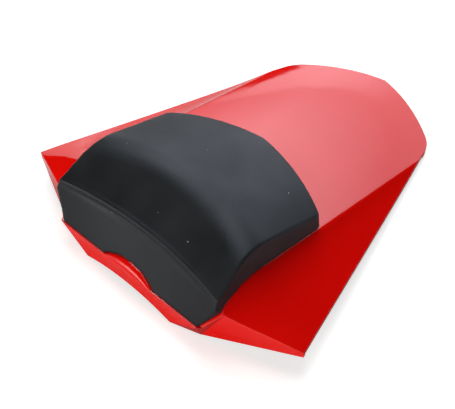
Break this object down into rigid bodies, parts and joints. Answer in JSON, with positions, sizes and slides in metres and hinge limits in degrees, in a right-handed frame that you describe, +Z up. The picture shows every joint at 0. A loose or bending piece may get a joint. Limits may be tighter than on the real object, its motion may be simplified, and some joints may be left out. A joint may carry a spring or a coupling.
{
  "type": "seat cowl",
  "caption": "Gloss moulded seat cowl with flared side wings, a crowned tail deck and a black bump pad; it covers the rear seat place and latches from below.",
  "frame": {"origin": "centre of the bounding box at its lowest level, where the nose and the tail lip stand", "axes": "+X across, +Y towards the tail, +Z up"},
  "size_m": [0.29, 0.336, 0.0788],
  "materials": {
    "shell_red": "gloss red lacquer",
    "pad_black": "satin skin on moulded foam",
    "zinc_steel": "zinc plated",
    "black_steel": "black powder coat",
    "stop_rubber": "matt"
  },
  "bodies": {
    "root": {"cowl_shell": "shell_red", "bump_pad": "pad_black", "pad_studs": "zinc_steel", "pad_nuts": "zinc_steel", "latch_bracket": "black_steel", "latch_striker": "zinc_steel", "bracket_screws": "zinc_steel", "support_rubbers": "stop_rubber"}
  },
  "joints": []
}
